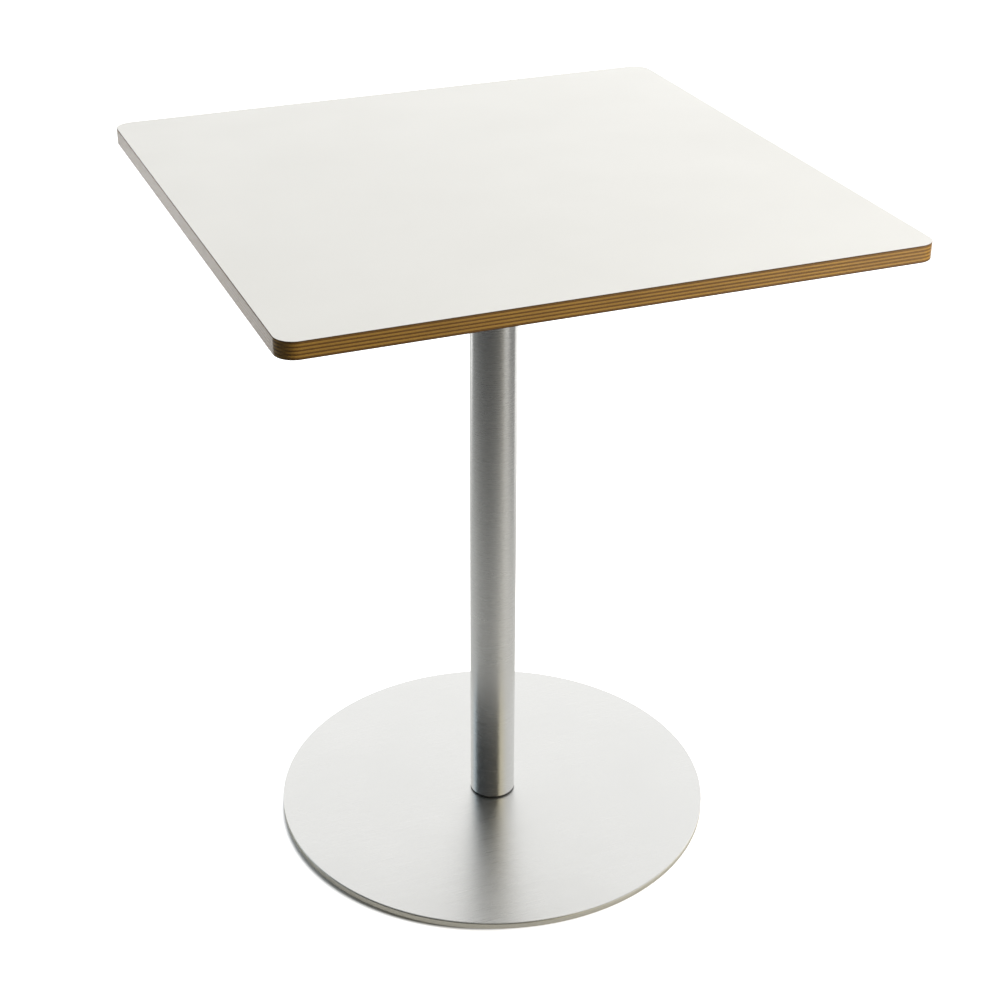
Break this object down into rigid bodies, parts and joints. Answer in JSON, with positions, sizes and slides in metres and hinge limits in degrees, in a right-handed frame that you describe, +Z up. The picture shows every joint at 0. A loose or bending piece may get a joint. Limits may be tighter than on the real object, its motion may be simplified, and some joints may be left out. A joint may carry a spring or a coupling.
{
  "type": "bistro table",
  "caption": "Square laminated plywood top with rounded corners on a round satin steel column and a flat disc base with levelling glides.",
  "frame": {"origin": "on the floor, under the centre of the column", "axes": "+Z up along the column; X along the front edge of the top; the front of the table faces -Y"},
  "size_m": [0.6, 0.6, 0.72],
  "materials": {
    "white_laminate": "smooth satin white decorative laminate with a brown core showing at its edge",
    "backing_laminate": "plain satin off-white balancing laminate with a brown core at its edge",
    "birch_end_grain": "lacquered veneer, end grain on the front and back edges",
    "birch_long_grain": "lacquered veneer, long grain on the front and back edges",
    "satin_column": "satin-brushed stainless steel tube",
    "satin_cover": "satin-brushed stainless steel sheet, straight fine brushing",
    "base_plate_steel": "turned and zinc-plated steel plate",
    "mill_steel": "plain turned steel",
    "zinc_steel": "zinc-plated steel fasteners",
    "black_powder_coat": "fine-textured black powder coat",
    "black_ring": "black ring, slightly glossy",
    "black_adhesive": "black bonding layer",
    "nylon_pad": "black moulded nylon"
  },
  "bodies": {
    "table": {"top_laminate": "white_laminate", "cross_grain_veneers": "birch_end_grain", "long_grain_veneers": "birch_long_grain", "backing_laminate": "backing_laminate", "top_inserts": "zinc_steel", "top_screws": "zinc_steel", "top_screw_washers": "zinc_steel", "top_plate": "black_powder_coat", "head_screws": "zinc_steel", "column_head_plug": "mill_steel", "column_tube": "satin_column", "column_foot_plug": "mill_steel", "column_foot_ring": "black_ring", "base_cover": "satin_cover", "base_bond_layer": "black_adhesive", "base_plate": "base_plate_steel", "base_screws": "zinc_steel"},
    "pad_1": {"glide_pad_1": "nylon_pad"},
    "stud_1": {"glide_stud_1": "zinc_steel"},
    "pad_2": {"glide_pad_2": "nylon_pad"},
    "stud_2": {"glide_stud_2": "zinc_steel"},
    "pad_3": {"glide_pad_3": "nylon_pad"},
    "stud_3": {"glide_stud_3": "zinc_steel"},
    "pad_4": {"glide_pad_4": "nylon_pad"},
    "stud_4": {"glide_stud_4": "zinc_steel"}
  },
  "joints": [
    {"name": "glide_lift_1", "type": "slide", "parent": "table", "child": "pad_1", "axis": [0, 0, -1], "range_m": [0, 0.0025]},
    {"name": "glide_turn_1", "type": "hinge", "parent": "pad_1", "child": "stud_1", "pos_m": [0.14496, 0.14496, 0.004], "axis": [0, 0, -1], "range_deg": [0, 720]},
    {"name": "glide_lift_2", "type": "slide", "parent": "table", "child": "pad_2", "axis": [0, 0, -1], "range_m": [0, 0.0025]},
    {"name": "glide_turn_2", "type": "hinge", "parent": "pad_2", "child": "stud_2", "pos_m": [-0.14496, 0.14496, 0.004], "axis": [0, 0, -1], "range_deg": [0, 720]},
    {"name": "glide_lift_3", "type": "slide", "parent": "table", "child": "pad_3", "axis": [0, 0, -1], "range_m": [0, 0.0025]},
    {"name": "glide_turn_3", "type": "hinge", "parent": "pad_3", "child": "stud_3", "pos_m": [-0.14496, -0.14496, 0.004], "axis": [0, 0, -1], "range_deg": [0, 720]},
    {"name": "glide_lift_4", "type": "slide", "parent": "table", "child": "pad_4", "axis": [0, 0, -1], "range_m": [0, 0.0025]},
    {"name": "glide_turn_4", "type": "hinge", "parent": "pad_4", "child": "stud_4", "pos_m": [0.14496, -0.14496, 0.004], "axis": [0, 0, -1], "range_deg": [0, 720]}
  ],
  "couplings": [
    {"joint": "glide_lift_1", "follows": "glide_turn_1", "m_per_rad": 0.00019894},
    {"joint": "glide_lift_2", "follows": "glide_turn_2", "m_per_rad": 0.00019894},
    {"joint": "glide_lift_3", "follows": "glide_turn_3", "m_per_rad": 0.00019894},
    {"joint": "glide_lift_4", "follows": "glide_turn_4", "m_per_rad": 0.00019894}
  ]
}
